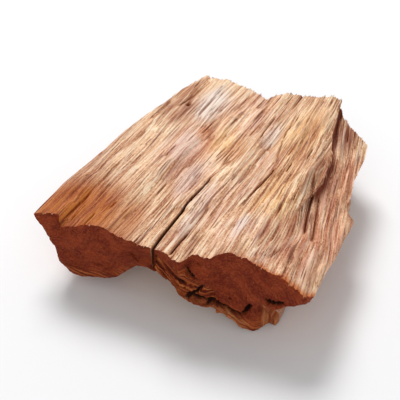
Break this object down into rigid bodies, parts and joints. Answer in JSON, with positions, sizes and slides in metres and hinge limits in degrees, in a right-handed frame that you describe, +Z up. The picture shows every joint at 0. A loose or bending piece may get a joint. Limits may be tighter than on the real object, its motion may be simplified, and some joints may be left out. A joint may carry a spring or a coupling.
{
  "type": "chunk of indian kino wood",
  "caption": "Rough split chunk of reddish-brown hardwood, a fan-shaped slab with ridged split faces, cut ends, a drying crack and an arched underside, for steeping or display.",
  "frame": {"origin": "bottom centre of the bounding box, on the resting plane", "axes": "+Z up, +Y along the fibres from the cut front end to the back end, +X across the fibres to the thin flank"},
  "size_m": [0.1036, 0.1048, 0.0357],
  "materials": {
    "kino_heartwood": "raw split heartwood, pinkish tan with dark brown grain, matte dark red-brown on the cut ends"
  },
  "bodies": {
    "root": {"kino_wood_chunk": "kino_heartwood"}
  },
  "joints": []
}
